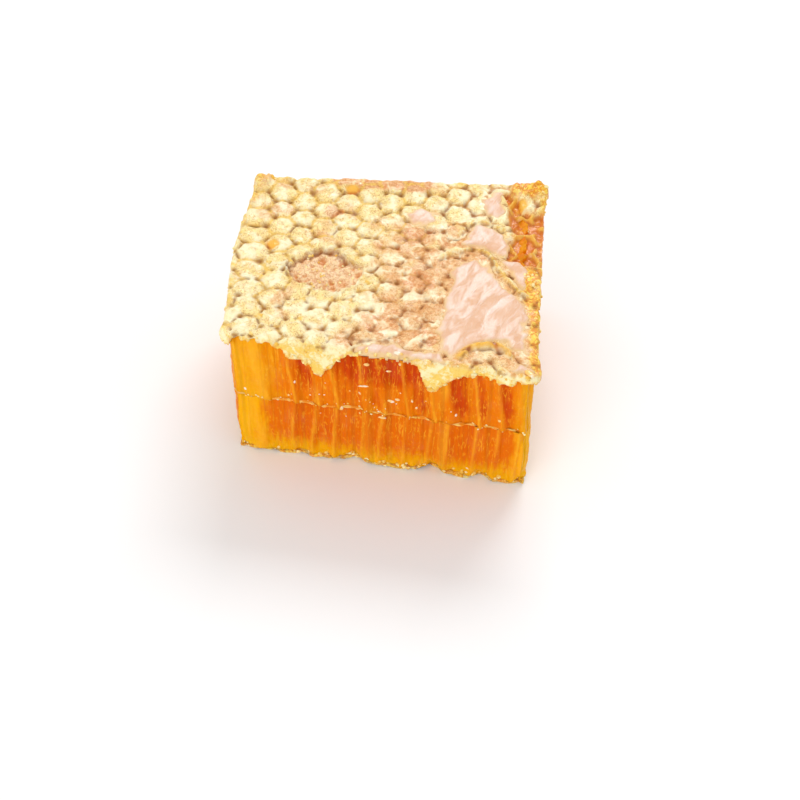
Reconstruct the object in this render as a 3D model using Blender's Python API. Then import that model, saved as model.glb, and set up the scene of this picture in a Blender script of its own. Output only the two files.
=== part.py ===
"""A hand-cut slab of capped honeycomb, lying flat with its sealed face up.

The comb is double-sided: from the base up it is a layer of wax cappings, a layer of
honey-filled cells, the midrib sheet, a second layer of cells and the upper cappings.
Metres, +Z up, origin at the middle of the footprint on the resting plane.
"""
import math
import random

import bmesh
import bpy
from mathutils import Matrix, Vector, noise

# Driving dimensions.
CELL = 0.0054                 # one cell, wall to opposite wall
LATTICE_TURN = math.radians(4.7)
LATTICE_START = Vector((-0.0003, 0.0038))
HEIGHT = 0.0366               # resting plane to the highest caps, at the back
GAP = 0.0003                  # between layers that touch
BASE_CAPPING = 0.0015         # thickness of the flat cappings underneath
MIDRIB = 0.0008
TOP_CAPPING = 0.0041          # thickness of the upper cappings, domes included
MIDRIB_HEIGHT = 0.0171        # middle of the midrib above the resting plane

# The slab's four cut corners seen from above, at the top face, counter-clockwise.
CORNERS = {
    "front_left": Vector((-0.0309, -0.0235)),
    "front_right": Vector((0.0317, -0.0271)),
    "back_right": Vector((0.0310, 0.0296)),
    "back_left": Vector((-0.0318, 0.0248)),
}
LEAN = Vector((0.0009, 0.0))  # the cells lean, so the base lies this far from the top

# The cut wall: walls stand out as ridges, honey sits back between them.
OUTLINE_STEP = 0.00095
FLUTE = 0.0013
WALL_SETBACK = 0.0005         # the cells' walls sit this far inside the torn wax rims
WALL_ROUGHNESS = 0.0005
RIM_ROUGHNESS = 0.0008
CORNER_STEPS = 3

# The caps over the cells.
CAP_BEVEL = 0.0011
CAP_RISE = 0.0005
CROWN_RISE = 0.00035
BACK_RISE = 0.0008            # the wax is piled up along the back edge
BACK_RISE_START = 0.0180
BACK_RISE_END = 0.0250
TORN_DEPTH = 0.0009
TORN_CENTRE = Vector((-0.0133, -0.0023))
TORN_SIZE = Vector((0.0078, 0.0056))
OPEN_STRIP = (0.0235, 0.0020, 0.0200)   # opened cells: beyond this x, between these y

COLOURS = {
    "cappings_top": (0.93, 0.76, 0.42, 1.0),
    "cells_upper": (0.80, 0.30, 0.02, 1.0),
    "midrib": (0.90, 0.60, 0.16, 1.0),
    "cells_lower": (0.86, 0.42, 0.03, 1.0),
    "cappings_bottom": (0.90, 0.66, 0.22, 1.0),
}


def clear_scene():
    for item in list(bpy.data.objects):
        bpy.data.objects.remove(item, do_unlink=True)


def collection(name):
    group = bpy.data.collections.new(name)
    bpy.context.scene.collection.children.link(group)
    return group


def finish_material(name, colour):
    material = bpy.data.materials.new(name)
    material.use_nodes = True
    shader = material.node_tree.nodes["Principled BSDF"]
    shader.inputs["Base Color"].default_value = colour
    shader.inputs["Roughness"].default_value = 0.45 if "cap" in name else 0.2
    shader.inputs["Metallic"].default_value = 0.0
    return material


def cell_centres(shift):
    """Centres of the comb's cells over the whole slab, moved by shift."""
    along = Vector((-math.sin(LATTICE_TURN), math.cos(LATTICE_TURN))) * CELL
    across = Matrix.Rotation(math.radians(-60), 2) @ along
    reach = 12
    centres = []
    for i in range(-reach, reach + 1):
        for j in range(-reach, reach + 1):
            centre = LATTICE_START + shift + along * i + across * j
            if abs(centre.x) < 0.040 and abs(centre.y) < 0.035:
                centres.append(centre)
    return centres


def outline(lattice, setback, flute, roughness, seed):
    """Corner points of the slab's ragged plan, counter-clockwise.

    Each straight cut is walked in short steps. A step inside a cell sits back by up to
    flute, a step on a wall doesn't, and noise tears the line a little. Both fade out
    towards a corner, where the two cuts have to meet.
    """
    inward = setback * math.sqrt(2)
    corners = [corner - corner.normalized() * inward for corner in CORNERS.values()]
    points = []
    for start, end in zip(corners, corners[1:] + corners[:1]):
        run = end - start
        outward = Vector((run.y, -run.x)).normalized()
        steps = round(run.length / OUTLINE_STEP)
        for step in range(steps):
            point = start + run * (step / steps)
            nearest = min((point - centre).length for centre in lattice)
            depth = max(0.0, 1.0 - (nearest / (CELL / math.sqrt(3))) ** 2)
            tear = noise.noise(Vector((point.x * 600, point.y * 600, seed)))
            tear += 0.6 * noise.noise(Vector((point.x * 220, point.y * 220, seed + 9)))
            fade = min(1.0, step / CORNER_STEPS, (steps - step) / CORNER_STEPS)
            points.append(point + outward * fade * (roughness * tear - flute * depth))
    return points


def plate(name, points, low, high, group):
    """A flat closed body with the given plan, between two heights, as a mesh object."""
    curve = bpy.data.curves.new(name, "CURVE")
    curve.dimensions = "2D"
    curve.fill_mode = "BOTH"
    curve.extrude = (high - low) / 2
    spline = curve.splines.new("POLY")
    spline.points.add(len(points) - 1)
    for slot, point in zip(spline.points, points):
        slot.co = (point.x, point.y, 0.0, 1.0)
    spline.use_cyclic_u = True
    shape = bpy.data.objects.new(name + "_curve", curve)
    shape.location = (0.0, 0.0, (low + high) / 2)
    group.objects.link(shape)
    bpy.context.view_layer.update()
    seen = shape.evaluated_get(bpy.context.evaluated_depsgraph_get())
    mesh = bpy.data.meshes.new_from_object(seen)
    mesh.name = name
    body = bmesh.new()
    body.from_mesh(mesh)
    bmesh.ops.remove_doubles(body, verts=body.verts, dist=0.00001)
    bmesh.ops.transform(body, matrix=shape.matrix_world, verts=body.verts)
    bmesh.ops.recalc_face_normals(body, faces=body.faces)
    body.to_mesh(mesh)
    body.free()
    bpy.data.objects.remove(shape, do_unlink=True)
    solid = bpy.data.objects.new(name, mesh)
    group.objects.link(solid)
    return solid


def lean_walls(solid, rings, belly):
    """Cut rings round the wall, then lean it with the cells and let it swell a little."""
    body = bmesh.new()
    body.from_mesh(solid.data)
    low = min(vert.co.z for vert in body.verts)
    high = max(vert.co.z for vert in body.verts)
    for ring in range(1, rings):
        level = low + (high - low) * ring / rings
        everything = list(body.verts) + list(body.edges) + list(body.faces)
        bmesh.ops.bisect_plane(body, geom=everything, plane_co=(0, 0, level), plane_no=(0, 0, 1))
    for vert in body.verts:
        height = vert.co.z
        swell = belly * math.sin(math.pi * (height - low) / (high - low))
        outward = vert.co.to_2d().normalized() * swell
        lean = LEAN * (1.0 - height / HEIGHT)
        wobble = WALL_ROUGHNESS * noise.noise(vert.co * 300)
        vert.co.x += outward.x + lean.x + wobble
        vert.co.y += outward.y + lean.y + wobble
    body.to_mesh(solid.data)
    body.free()


def cap_kind(centre):
    """Sealed, torn off, or opened down to the honey."""
    torn = centre - TORN_CENTRE
    if (torn.x / TORN_SIZE.x) ** 2 + (torn.y / TORN_SIZE.y) ** 2 < 1.0:
        return "torn"
    strip_x, strip_front, strip_back = OPEN_STRIP
    if centre.x > strip_x and strip_front < centre.y < strip_back:
        return "open"
    return "sealed"


def capped_sheet(name, low, group):
    """A sheet of hexagonal caps, one for each cell, domed, torn or opened."""
    luck = random.Random(5)
    valley = HEIGHT - BACK_RISE - CAP_RISE - CROWN_RISE
    body = bmesh.new()
    kinds = []
    for centre in cell_centres(Vector((0.0, 0.0))):
        turned = Matrix.Translation((centre.x, centre.y, valley))
        turned = turned @ Matrix.Rotation(LATTICE_TURN + math.radians(30), 4, "Z")
        bmesh.ops.create_circle(body, cap_ends=True, segments=6,
                                radius=CELL / math.sqrt(3), matrix=turned)
        kinds.append(cap_kind(centre))
    bmesh.ops.recalc_face_normals(body, faces=body.faces)
    for face in body.faces:
        if face.normal.z < 0:
            face.normal_flip()
    cells = list(body.faces)
    bmesh.ops.remove_doubles(body, verts=body.verts, dist=0.0003)
    for face, kind in zip(cells, kinds):
        rise = CAP_RISE * luck.uniform(0.55, 1.0)
        crown = CROWN_RISE * luck.uniform(0.4, 1.0)
        if kind != "sealed":
            rise, crown = -TORN_DEPTH * luck.uniform(0.7, 1.0), -0.0002
        bevel = CAP_BEVEL * luck.uniform(0.8, 1.2)
        bmesh.ops.inset_individual(body, faces=[face], thickness=bevel, depth=rise)
        bmesh.ops.poke(body, faces=[face], offset=crown, center_mode="MEAN")
    for vert in body.verts:
        share = (vert.co.y - BACK_RISE_START) / (BACK_RISE_END - BACK_RISE_START)
        vert.co.z += BACK_RISE * min(1.0, max(0.0, share))
    rim = [edge for edge in body.edges if edge.is_boundary]
    skirt = bmesh.ops.extrude_edge_only(body, edges=rim)["geom"]
    for vert in (item for item in skirt if isinstance(item, bmesh.types.BMVert)):
        vert.co.z = low
    floor = [edge for edge in body.edges if edge.is_boundary]
    bmesh.ops.contextual_create(body, geom=floor)
    bmesh.ops.recalc_face_normals(body, faces=body.faces)
    mesh = bpy.data.meshes.new(name)
    body.to_mesh(mesh)
    body.free()
    sheet = bpy.data.objects.new(name, mesh)
    group.objects.link(sheet)
    return sheet


def keep_inside(solid, cutter):
    """Trim a solid to the part of it that lies inside the cutter."""
    cutter.display_type = "WIRE"
    cutter.hide_render = True
    trim = solid.modifiers.new("trim", "BOOLEAN")
    trim.operation = "INTERSECT"
    trim.solver = "EXACT"
    trim.object = cutter


def build_cells(name, low, high, lattice, seed, group):
    points = outline(lattice, WALL_SETBACK, FLUTE, WALL_ROUGHNESS, seed)
    solid = plate(name, points, low, high, group)
    lean_walls(solid, rings=2, belly=0.0003)
    return solid


def build_plate(name, low, high, lattice, setback, seed, group):
    points = outline(lattice, setback, FLUTE / 2, RIM_ROUGHNESS, seed)
    solid = plate(name, points, low, high, group)
    lean_walls(solid, rings=1, belly=0.0)
    return solid


def centre_on_origin(solids):
    """Move every layer by the same step, so the footprint is centred on the origin."""
    bpy.context.view_layer.update()
    graph = bpy.context.evaluated_depsgraph_get()
    spots = []
    for solid in solids:
        seen = solid.evaluated_get(graph)
        spots += [seen.matrix_world @ vert.co for vert in seen.data.vertices]
    middle_x = (min(spot.x for spot in spots) + max(spot.x for spot in spots)) / 2
    middle_y = (min(spot.y for spot in spots) + max(spot.y for spot in spots)) / 2
    for item in bpy.data.objects:
        item.location.x -= middle_x
        item.location.y -= middle_y


def main():
    clear_scene()
    parts = collection("honeycomb_piece")
    cutters = collection("cutters")
    upper = cell_centres(Vector((0.0, 0.0)))
    # The cells below the midrib sit under the corners of those above it.
    lower = cell_centres(Vector((CELL / math.sqrt(3), 0.0)))

    cells_low = BASE_CAPPING + GAP
    midrib_low = MIDRIB_HEIGHT - MIDRIB / 2
    midrib_high = MIDRIB_HEIGHT + MIDRIB / 2
    caps_low = HEIGHT - TOP_CAPPING

    base = build_plate("cappings_bottom", 0.0, BASE_CAPPING, lower, 0.0, 1.0, parts)
    cells_lower = build_cells("cells_lower", cells_low, midrib_low - GAP, lower, 2.0, parts)
    midrib = build_plate("midrib", midrib_low, midrib_high, upper, WALL_SETBACK, 3.0, parts)
    cells_upper = build_cells("cells_upper", midrib_high + GAP, caps_low - GAP, upper, 4.0, parts)
    cappings = capped_sheet("cappings_top", caps_low, parts)
    rim_points = outline(upper, 0.0, FLUTE / 2, RIM_ROUGHNESS, 5.0)
    rim = plate("rim_cutter", rim_points, caps_low - 0.002, HEIGHT + 0.002, cutters)
    keep_inside(cappings, rim)

    solids = [base, cells_lower, midrib, cells_upper, cappings]
    for solid in solids:
        solid.data.materials.clear()
        solid.data.materials.append(finish_material(solid.name, COLOURS[solid.name]))
    centre_on_origin(solids)


main()
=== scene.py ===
"""The looks of a hand-cut slab of capped honeycomb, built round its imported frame."""
import math
import random

import bpy
import numpy as np
from mathutils import Matrix, Vector, noise


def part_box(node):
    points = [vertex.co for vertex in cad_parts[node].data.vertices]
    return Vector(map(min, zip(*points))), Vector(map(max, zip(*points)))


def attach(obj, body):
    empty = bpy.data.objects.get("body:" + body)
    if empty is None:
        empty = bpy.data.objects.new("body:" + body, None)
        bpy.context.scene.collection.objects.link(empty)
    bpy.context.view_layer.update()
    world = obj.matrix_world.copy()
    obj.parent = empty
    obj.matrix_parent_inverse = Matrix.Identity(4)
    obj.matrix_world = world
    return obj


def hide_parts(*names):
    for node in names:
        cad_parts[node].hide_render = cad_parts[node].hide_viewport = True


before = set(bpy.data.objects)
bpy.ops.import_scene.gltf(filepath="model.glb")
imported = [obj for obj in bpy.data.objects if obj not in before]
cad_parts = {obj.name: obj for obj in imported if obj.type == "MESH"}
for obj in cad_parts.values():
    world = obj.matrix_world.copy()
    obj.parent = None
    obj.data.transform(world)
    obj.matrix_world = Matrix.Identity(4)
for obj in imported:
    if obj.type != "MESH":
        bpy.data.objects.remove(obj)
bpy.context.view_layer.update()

MM = 0.001
BODY = "root"                 # the one body of a row without joints

# The comb, in millimetres.
CELL = 5.4                    # between the flat sides of a cell
LATTICE_TURN = math.radians(4.7)
LATTICE_START = np.array((-0.83, 2.52))    # the middle of one upper cell
CORNER_ROUNDING = 2.0         # of the slab's four upright corners
FOLD_RADIUS = 0.7             # how tightly the upper cappings fold over the cut edge
SHEET_STEP = 0.27             # mesh spacing over the upper cappings and the honey on them
BASE_STEP = 0.4               # mesh spacing over the lower cappings
WALL_STEP = 0.27              # mesh spacing round the cut walls
WALL_RISE = 0.36              # mesh spacing up the cut walls
UPPER_SLANT = -0.14           # how far the upper cells lean sideways for each mm of height
LOWER_SLANT = 0.05
CAP_DEPTH = 1.75              # from the highest wax down to the valleys between the caps
BACK_RISE = 0.8               # the wax is piled up along the back edge
WALL_TOP = 2.1                # the upper walls end this far below the highest wax
WALL_FOOT = 0.9               # the lower walls start this far above the base
RIB_LAP = 0.2                 # each wall ends this far short of the midrib's other face
TUCK = 3.0                    # how far a wall's two ends turn in under the cappings
REACH = 15.0                  # a bit of wax sets out from this far outside the cut
ABOVE = 9.0                   # or from this far above the cappings

# Outlines of places on the upper cappings, in millimetres from the slab's middle.
TORN = ((-21.4, -4.8), (-20.9, -1.1), (-18.3, 0.2), (-15.5, 2.4), (-12.0, 2.4), (-9.5, -0.6),
        (-6.2, -1.4), (-5.6, -4.4), (-7.5, -8.0), (-11.0, -10.2), (-15.0, -9.3), (-19.0, -7.8))
OPENED = ((21.5, 24.0), (24.5, 25.0), (26.0, 19.5), (32.0, 19.9), (33.0, 4.5), (26.6, 3.0),
          (23.6, 3.6), (22.6, 6.7), (24.1, 10.6), (23.5, 14.4))
FILMS = (
    ((13.1, 0.5), (16.5, 3.4), (19.5, 1.9), (22.0, -2.1), (24.9, -6.2), (27.5, -9.1),
     (28.3, -21.6), (24.6, -19.6), (20.6, -19.4), (17.4, -21.4), (15.2, -26.0), (12.5, -22.9),
     (10.8, -16.6), (12.0, -9.2), (12.8, -3.8)),
    ((14.1, 10.7), (16.6, 13.4), (19.7, 13.0), (22.3, 11.7), (22.8, 6.1), (20.1, 5.7),
     (17.1, 6.9), (14.1, 7.1)),
    ((17.0, 21.6), (20.8, 23.6), (22.2, 18.5), (19.9, 16.0), (17.7, 17.0)),
    ((23.6, 3.3), (26.1, 4.4), (27.6, 2.9), (27.6, -0.8), (27.3, -3.8), (25.1, -1.7)),
    ((1.0, 15.5), (5.0, 17.0), (8.6, 14.8), (7.0, 12.6), (2.6, 12.9)),
    ((-4.0, -24.6), (-1.0, -22.9), (3.0, -23.6), (6.4, -24.4), (5.0, -27.0), (-2.5, -27.0)),
    ((6.2, -25.6), (8.0, -24.4), (11.6, -25.0), (13.0, -27.4), (9.5, -29.0), (6.6, -28.0)),
    ((25.6, -27.0), (27.4, -25.8), (30.4, -26.4), (31.0, -29.0), (26.4, -29.0)),
)
RIGHT_STRIP = ((27.0, 4.0), (33.0, 4.0), (33.0, -28.0), (29.4, -27.0), (28.9, -13.0), (26.9, -4.5))
SMEAR = ((-17.0, 27.0), (-15.5, 22.6), (-10.0, 21.9), (-2.0, 22.4), (4.5, 21.9), (8.0, 27.0))
LUMPS = (                     # middle x, middle y, half width, half depth
    (-31.0, 22.8, 3.0, 3.2), (27.6, 26.4, 5.6, 3.6), (31.0, 22.4, 1.6, 3.2),
    (28.6, -1.2, 1.9, 3.4), (-31.6, 16.0, 1.2, 2.4), (-31.8, 9.0, 1.0, 2.0),
)
HONEY_CELLS = ((-11.1, 21.6, 1.5), (-25.5, 2.8, 1.5), (25.0, 21.3, 2.0))
SCRAPED_CELLS = ((-14.4, 14.8, 2.2), (1.6, 5.6, 1.6), (5.6, 0.4, 1.7), (7.4, 11.2, 1.5))
PEACH_SPOTS = ((5.5, -4.0, 4.6, 4.0), (0.0, -18.0, 5.5, 4.0), (3.5, 9.5, 4.0, 3.4),
               (12.0, 9.0, 3.0, 3.0), (8.0, -20.0, 3.5, 3.0))
WAVY_LEDGE = ((13.2, 10.6), (14.5, 13.7), (16.5, 15.6), (19.1, 14.9), (21.6, 13.2),
              (23.5, 14.1), (24.9, 16.2))
LONG_LEDGE = ((9.5, 3.2), (13.4, 5.5), (15.8, 6.8), (17.9, 6.7), (19.7, 5.1), (20.9, 2.4),
              (23.2, -1.0), (25.9, -4.6), (28.0, -6.4))
RIM_CREASE = ((-8.5, -21.8), (-5.0, -22.9), (-1.5, -22.2), (2.2, -23.0))
AMBER_FOLD = ((15.8, -24.6), (16.9, -22.9), (18.7, -21.6), (21.7, -20.9), (24.3, -21.5),
              (25.5, -22.7))
# How far the torn wax hangs over the front cut: distance along the edge, drop.
FRONT_FRINGE = (
    (0, 0.9), (3, 0.4), (6, 0.5), (8, 0.9), (10.5, 2.5), (11.6, 3.8), (15.7, 4.8), (17.2, 8.0),
    (18.0, 9.2), (19.7, 6.0), (21.4, 4.0), (22.8, 2.6), (24.8, 0.6), (27.8, -0.6), (30.8, -1.2),
    (33.7, -0.7), (35.7, 0.4), (37.8, 2.2), (38.7, 6.0), (39.9, 8.0), (41.2, 8.1), (42.9, 5.4),
    (44.8, 4.2), (46.7, 3.3), (49.6, 2.3), (53.6, 2.7), (56.6, 3.0), (59.4, 1.2), (61, 1.5),
)

# Levels of the layers in mm, from the frame.
CAP_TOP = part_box("cappings_top")[1].z / MM
RIB_BASE, RIB_TOP = (corner.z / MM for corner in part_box("midrib"))
RIB_MIDDLE = (RIB_BASE + RIB_TOP) / 2


# ---------------------------------------------------------------- plan of the slab

def plan_corners(node):
    """A layer's four corners in mm: front left, front right, back right, back left."""
    spots = [vert.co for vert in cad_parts[node].data.vertices]
    corners = []
    for across, along in ((-1, -1), (1, -1), (1, 1), (-1, 1)):
        corner = max(spots, key=lambda spot: spot.x * across + spot.y * along)
        corners.append((corner.x / MM, corner.y / MM))
    return np.array(corners)


TOP_PLAN = plan_corners("cappings_top")
BASE_PLAN = plan_corners("cappings_bottom")


def inset_plan(corners, distance):
    """The plan's corners moved in, so that every side moves in by distance."""
    sides = np.roll(corners, -1, axis=0) - corners
    lengths = np.linalg.norm(sides, axis=1)
    outward = np.stack((sides[:, 1], -sides[:, 0]), 1) / lengths[:, None]
    moved = []
    for index in range(4):
        first, second = outward[index - 1], outward[index]
        bisector = (first + second) / (1 + first @ second)
        moved.append(corners[index] - bisector * distance)
    return np.array(moved)


def plan_distance(points, corners):
    """How far each point lies outside the rounded plan, its way out and place along the rim."""
    inner = inset_plan(corners, CORNER_ROUNDING)
    count = len(points)
    distance = np.full(count, 1e9)
    depth = np.full(count, -1e9)
    way = np.zeros((count, 2))
    side_way = np.zeros((count, 2))
    place = np.zeros(count)
    walked = 0.0
    for index in range(4):
        start, end = inner[index], inner[(index + 1) % 4]
        run = end - start
        length = np.linalg.norm(run)
        along = np.clip(((points - start) @ run) / length ** 2, 0, 1)
        offset = points - (start + along[:, None] * run)
        far = np.linalg.norm(offset, axis=1)
        normal = np.array((run[1], -run[0])) / length
        signed = (points - start) @ normal
        closer = far < distance
        place = np.where(closer, walked + along * length, place)
        way = np.where(closer[:, None], offset / np.maximum(far, 1e-6)[:, None], way)
        side_way = np.where(closer[:, None], normal, side_way)
        distance = np.where(closer, far, distance)
        depth = np.maximum(depth, signed)
        walked += length
    inside = depth < 0
    way = np.where(inside[:, None], side_way, way)
    return np.where(inside, depth, distance) - CORNER_ROUNDING, way, place


def walk_rim(corners, shares):
    """Points on the rounded plan and their ways out, at shares 0 to 1 of its whole length."""
    inner = inset_plan(corners, CORNER_ROUNDING)
    pieces, total = [], 0.0
    for index in range(4):
        start, end = inner[index], inner[(index + 1) % 4]
        after = inner[(index + 2) % 4]
        run, turn = end - start, after - end
        length = np.linalg.norm(run)
        heading = math.atan2(run[1], run[0]) - math.pi / 2
        swing = (math.atan2(turn[1], turn[0]) - math.atan2(run[1], run[0])) % (2 * math.pi)
        pieces.append(("side", total, length, start, run / length, heading, 0.0))
        total += length
        pieces.append(("bend", total, swing * CORNER_ROUNDING, end, None, heading, swing))
        total += swing * CORNER_ROUNDING
    places = np.asarray(shares) * total
    points = np.zeros((len(places), 2))
    ways = np.zeros((len(places), 2))
    for kind, begin, length, spot, direction, heading, swing in pieces:
        here = (places >= begin - 1e-9) & (places <= begin + length + 1e-9)
        along = places[here] - begin
        angle = heading + (along / length * swing if kind == "bend" else along * 0)
        out = np.stack((np.cos(angle), np.sin(angle)), 1)
        base = spot + (along[:, None] * direction if kind == "side" else 0)
        points[here] = base + out * CORNER_ROUNDING
        ways[here] = out
    return points, ways, places


def cell_centres(shift=(0.0, 0.0)):
    along = np.array((-math.sin(LATTICE_TURN), math.cos(LATTICE_TURN))) * CELL
    turn = math.radians(-60)
    across = np.array((along[0] * math.cos(turn) - along[1] * math.sin(turn),
                       along[0] * math.sin(turn) + along[1] * math.cos(turn)))
    reach = 12
    centres = [LATTICE_START + shift + along * i + across * j
               for i in range(-reach, reach + 1) for j in range(-reach, reach + 1)]
    return np.array([spot for spot in centres if abs(spot[0]) < 44 and abs(spot[1]) < 38])


UPPER_CELLS = cell_centres()
LOWER_CELLS = cell_centres((CELL / math.sqrt(3), 0.0))


def cell_field(points, centres):
    """Nearest cell, distance to its wall, and nearness to the corner of three cells."""
    gaps = np.linalg.norm(points[:, None, :] - centres[None, :, :], axis=2)
    nearest = np.argpartition(gaps, 2, axis=1)[:, :3]
    three = np.take_along_axis(gaps, nearest, axis=1)
    order = np.argsort(three, axis=1)
    three = np.take_along_axis(three, order, axis=1)
    nearest = np.take_along_axis(nearest, order, axis=1)
    wall = (three[:, 1] ** 2 - three[:, 0] ** 2) / (2 * CELL)
    corner = (three[:, 2] ** 2 - three[:, 0] ** 2) / (2 * CELL)
    return nearest[:, 0], wall, corner


def luck_table(count, seed, low=0.0, high=1.0):
    draw = random.Random(seed)
    return np.array([draw.uniform(low, high) for _ in range(count)])


def ripple(points, size, seed, octaves=1):
    """Smooth noise from about -1 to 1, with bumps of the given size in mm."""
    values = np.zeros(len(points))
    strength, total = 1.0, 0.0
    for octave in range(octaves):
        shift = seed * 17.3 + octave * 5.1
        scale = 2 ** octave / size
        for index, spot in enumerate(points):
            place = (spot[0] * scale + shift, spot[1] * scale - shift, spot[2] * scale + seed)
            values[index] += strength * noise.noise(place)
        total += strength
        strength /= 2
    return values / total * 1.6


def smooth(value, low, high):
    t = np.clip((value - low) / (high - low), 0, 1)
    return t * t * (3 - 2 * t)


def oval(points, centre, size):
    """0 at an oval's middle, 1 on its edge, more outside it."""
    return np.hypot((points[:, 0] - centre[0]) / size[0], (points[:, 1] - centre[1]) / size[1])


def blots(points, ovals, rough, low, high):
    """1 well inside any of the ovals, 0 well outside them all, roughened at the edge."""
    share = np.zeros(len(points))
    for x, y, *size in ovals:
        edge = oval(points, (x, y), (size[0], size[-1])) + rough
        share = np.maximum(share, 1 - smooth(edge, low, high))
    return share


def path_distance(points, path, closed=False):
    """How far each point lies from a path, in mm."""
    path = np.array(path)
    ends = np.roll(path, -1, axis=0)
    far = np.full(len(points), 1e9)
    for start, end in list(zip(path, ends))[:None if closed else -1]:
        run = end - start
        along = np.clip(((points - start) @ run) / (run @ run), 0, 1)
        offset = points - (start + along[:, None] * run)
        far = np.minimum(far, np.linalg.norm(offset, axis=1))
    return far


def region(points, outline):
    """How far each point lies outside an outline, in mm; negative inside."""
    outline = np.array(outline)
    inside = np.zeros(len(points), bool)
    for start, end in zip(outline, np.roll(outline, -1, axis=0)):
        rise = (end[1] - start[1]) or 1e-9
        spans = (start[1] > points[:, 1]) != (end[1] > points[:, 1])
        crossing = start[0] + (points[:, 1] - start[1]) / rise * (end[0] - start[0])
        inside ^= spans & (points[:, 0] < crossing)
    far = path_distance(points, outline, closed=True)
    return np.where(inside, -far, far)


def patch(points, outline, rough, low, high):
    """1 well inside the outline, 0 well outside it, roughened at the edge."""
    return 1 - smooth(region(points, outline) + rough, low, high)


def on_plan(points):
    """The points with a height of 0, for the smooth noise."""
    return np.column_stack((points, np.zeros(len(points))))


def on_wall(place, level):
    """Places along the rim and levels on the wall, for the smooth noise."""
    return np.column_stack((place, level, level * 0))


def along_rim(place):
    return on_wall(place, place * 0)


def valley_level(points):
    """Height of the valleys between the caps, in mm."""
    low = CAP_TOP - CAP_DEPTH + 0.22 * ripple(on_plan(points), 13.0, 7)
    return low + BACK_RISE * smooth(points[:, 1], 16.7, 23.7)


def film_reach(points):
    """How far each point lies outside the honey on the cappings, in mm."""
    flat = on_plan(points)
    reach = np.minimum.reduce([region(points, outline) for outline in FILMS])
    return reach - 0.4 + 0.9 * ripple(flat, 3.6, 81) + 0.45 * ripple(flat, 1.4, 82)


# ---------------------------------------------------------------- mesh helpers

def start_piece():
    if bpy.context.object and bpy.context.object.mode != "OBJECT":
        bpy.ops.object.mode_set(mode="OBJECT")
    bpy.ops.object.select_all(action="DESELECT")


def named(name):
    piece = bpy.context.object
    piece.name = name
    piece.data.name = name
    return piece


def settle():
    bpy.ops.object.transform_apply(location=True, rotation=True, scale=True)


def spots_of(piece):
    flat = np.zeros(len(piece.data.vertices) * 3)
    piece.data.vertices.foreach_get("co", flat)
    return flat.reshape(-1, 3) / MM


def put_spots(piece, spots):
    piece.data.vertices.foreach_set("co", (spots * MM).astype(np.float32).ravel())
    piece.data.update()


def put_marks(piece, marks):
    """The values at each vertex that the finishes read by name."""
    for name, values in marks.items():
        mark = piece.data.attributes.new(name, "FLOAT", "POINT")
        mark.data.foreach_set("value", np.asarray(values, np.float32))


def select_verts(piece, chosen):
    """Edit mode with just these vertices selected."""
    bpy.ops.object.mode_set(mode="OBJECT")
    mesh = piece.data
    mesh.vertices.foreach_set("select", np.asarray(chosen, bool))
    mesh.edges.foreach_set("select", np.zeros(len(mesh.edges), bool))
    mesh.polygons.foreach_set("select", np.zeros(len(mesh.polygons), bool))
    bpy.ops.object.mode_set(mode="EDIT")
    bpy.ops.mesh.select_mode(type="VERT")


def selected_verts(piece):
    bpy.ops.object.mode_set(mode="OBJECT")
    chosen = np.zeros(len(piece.data.vertices), bool)
    piece.data.vertices.foreach_get("select", chosen)
    return chosen


def cut_away(piece, chosen):
    """Deletes the chosen vertices and what they leave loose."""
    select_verts(piece, chosen)
    bpy.ops.mesh.delete(type="VERT")
    bpy.ops.mesh.select_all(action="SELECT")
    bpy.ops.mesh.delete_loose()
    bpy.ops.object.mode_set(mode="OBJECT")


def select_open_edges():
    bpy.ops.object.mode_set(mode="EDIT")
    bpy.ops.mesh.select_mode(type="EDGE")
    bpy.ops.mesh.select_all(action="DESELECT")
    bpy.ops.mesh.select_non_manifold(extend=False, use_wire=False, use_boundary=True,
                                     use_multi_face=False, use_non_contiguous=False,
                                     use_verts=False)


def finish_shell():
    """Faces outward and smooth."""
    bpy.ops.object.mode_set(mode="EDIT")
    bpy.ops.mesh.select_all(action="SELECT")
    bpy.ops.mesh.normals_make_consistent(inside=False)
    bpy.ops.object.mode_set(mode="OBJECT")
    bpy.ops.object.shade_smooth()


def dress(piece, material, slot, *nodes):
    """The piece's finish, the body it rides on and the CAD nodes it stands for."""
    piece.data.materials.clear()
    piece.data.materials.append(material)
    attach(piece, BODY)
    if nodes:
        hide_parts(*nodes)


# ---------------------------------------------------------------- finishes

def tint(red, green, blue):
    """A screen colour from 0 to 255 as the light it stands for."""
    return tuple(((c / 255 + 0.055) / 1.055) ** 2.4 if c > 10 else c / 3295
                 for c in (red, green, blue)) + (1.0,)


class Wire:
    """A shader socket that sums can be written with; each sum adds its Math node."""

    def __init__(self, finish, socket):
        self.finish, self.socket = finish, socket

    def _sum(self, operation, first, second):
        return self.finish.node("ShaderNodeMath", {"operation": operation}, {0: first, 1: second})

    def __add__(self, other):
        return self._sum("ADD", self, other)

    def __mul__(self, other):
        return self._sum("MULTIPLY", self, other)

    def __sub__(self, other):
        return self._sum("SUBTRACT", self, other)

    def __rsub__(self, other):
        return self._sum("SUBTRACT", other, self)

    __radd__, __rmul__ = __add__, __mul__


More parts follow.
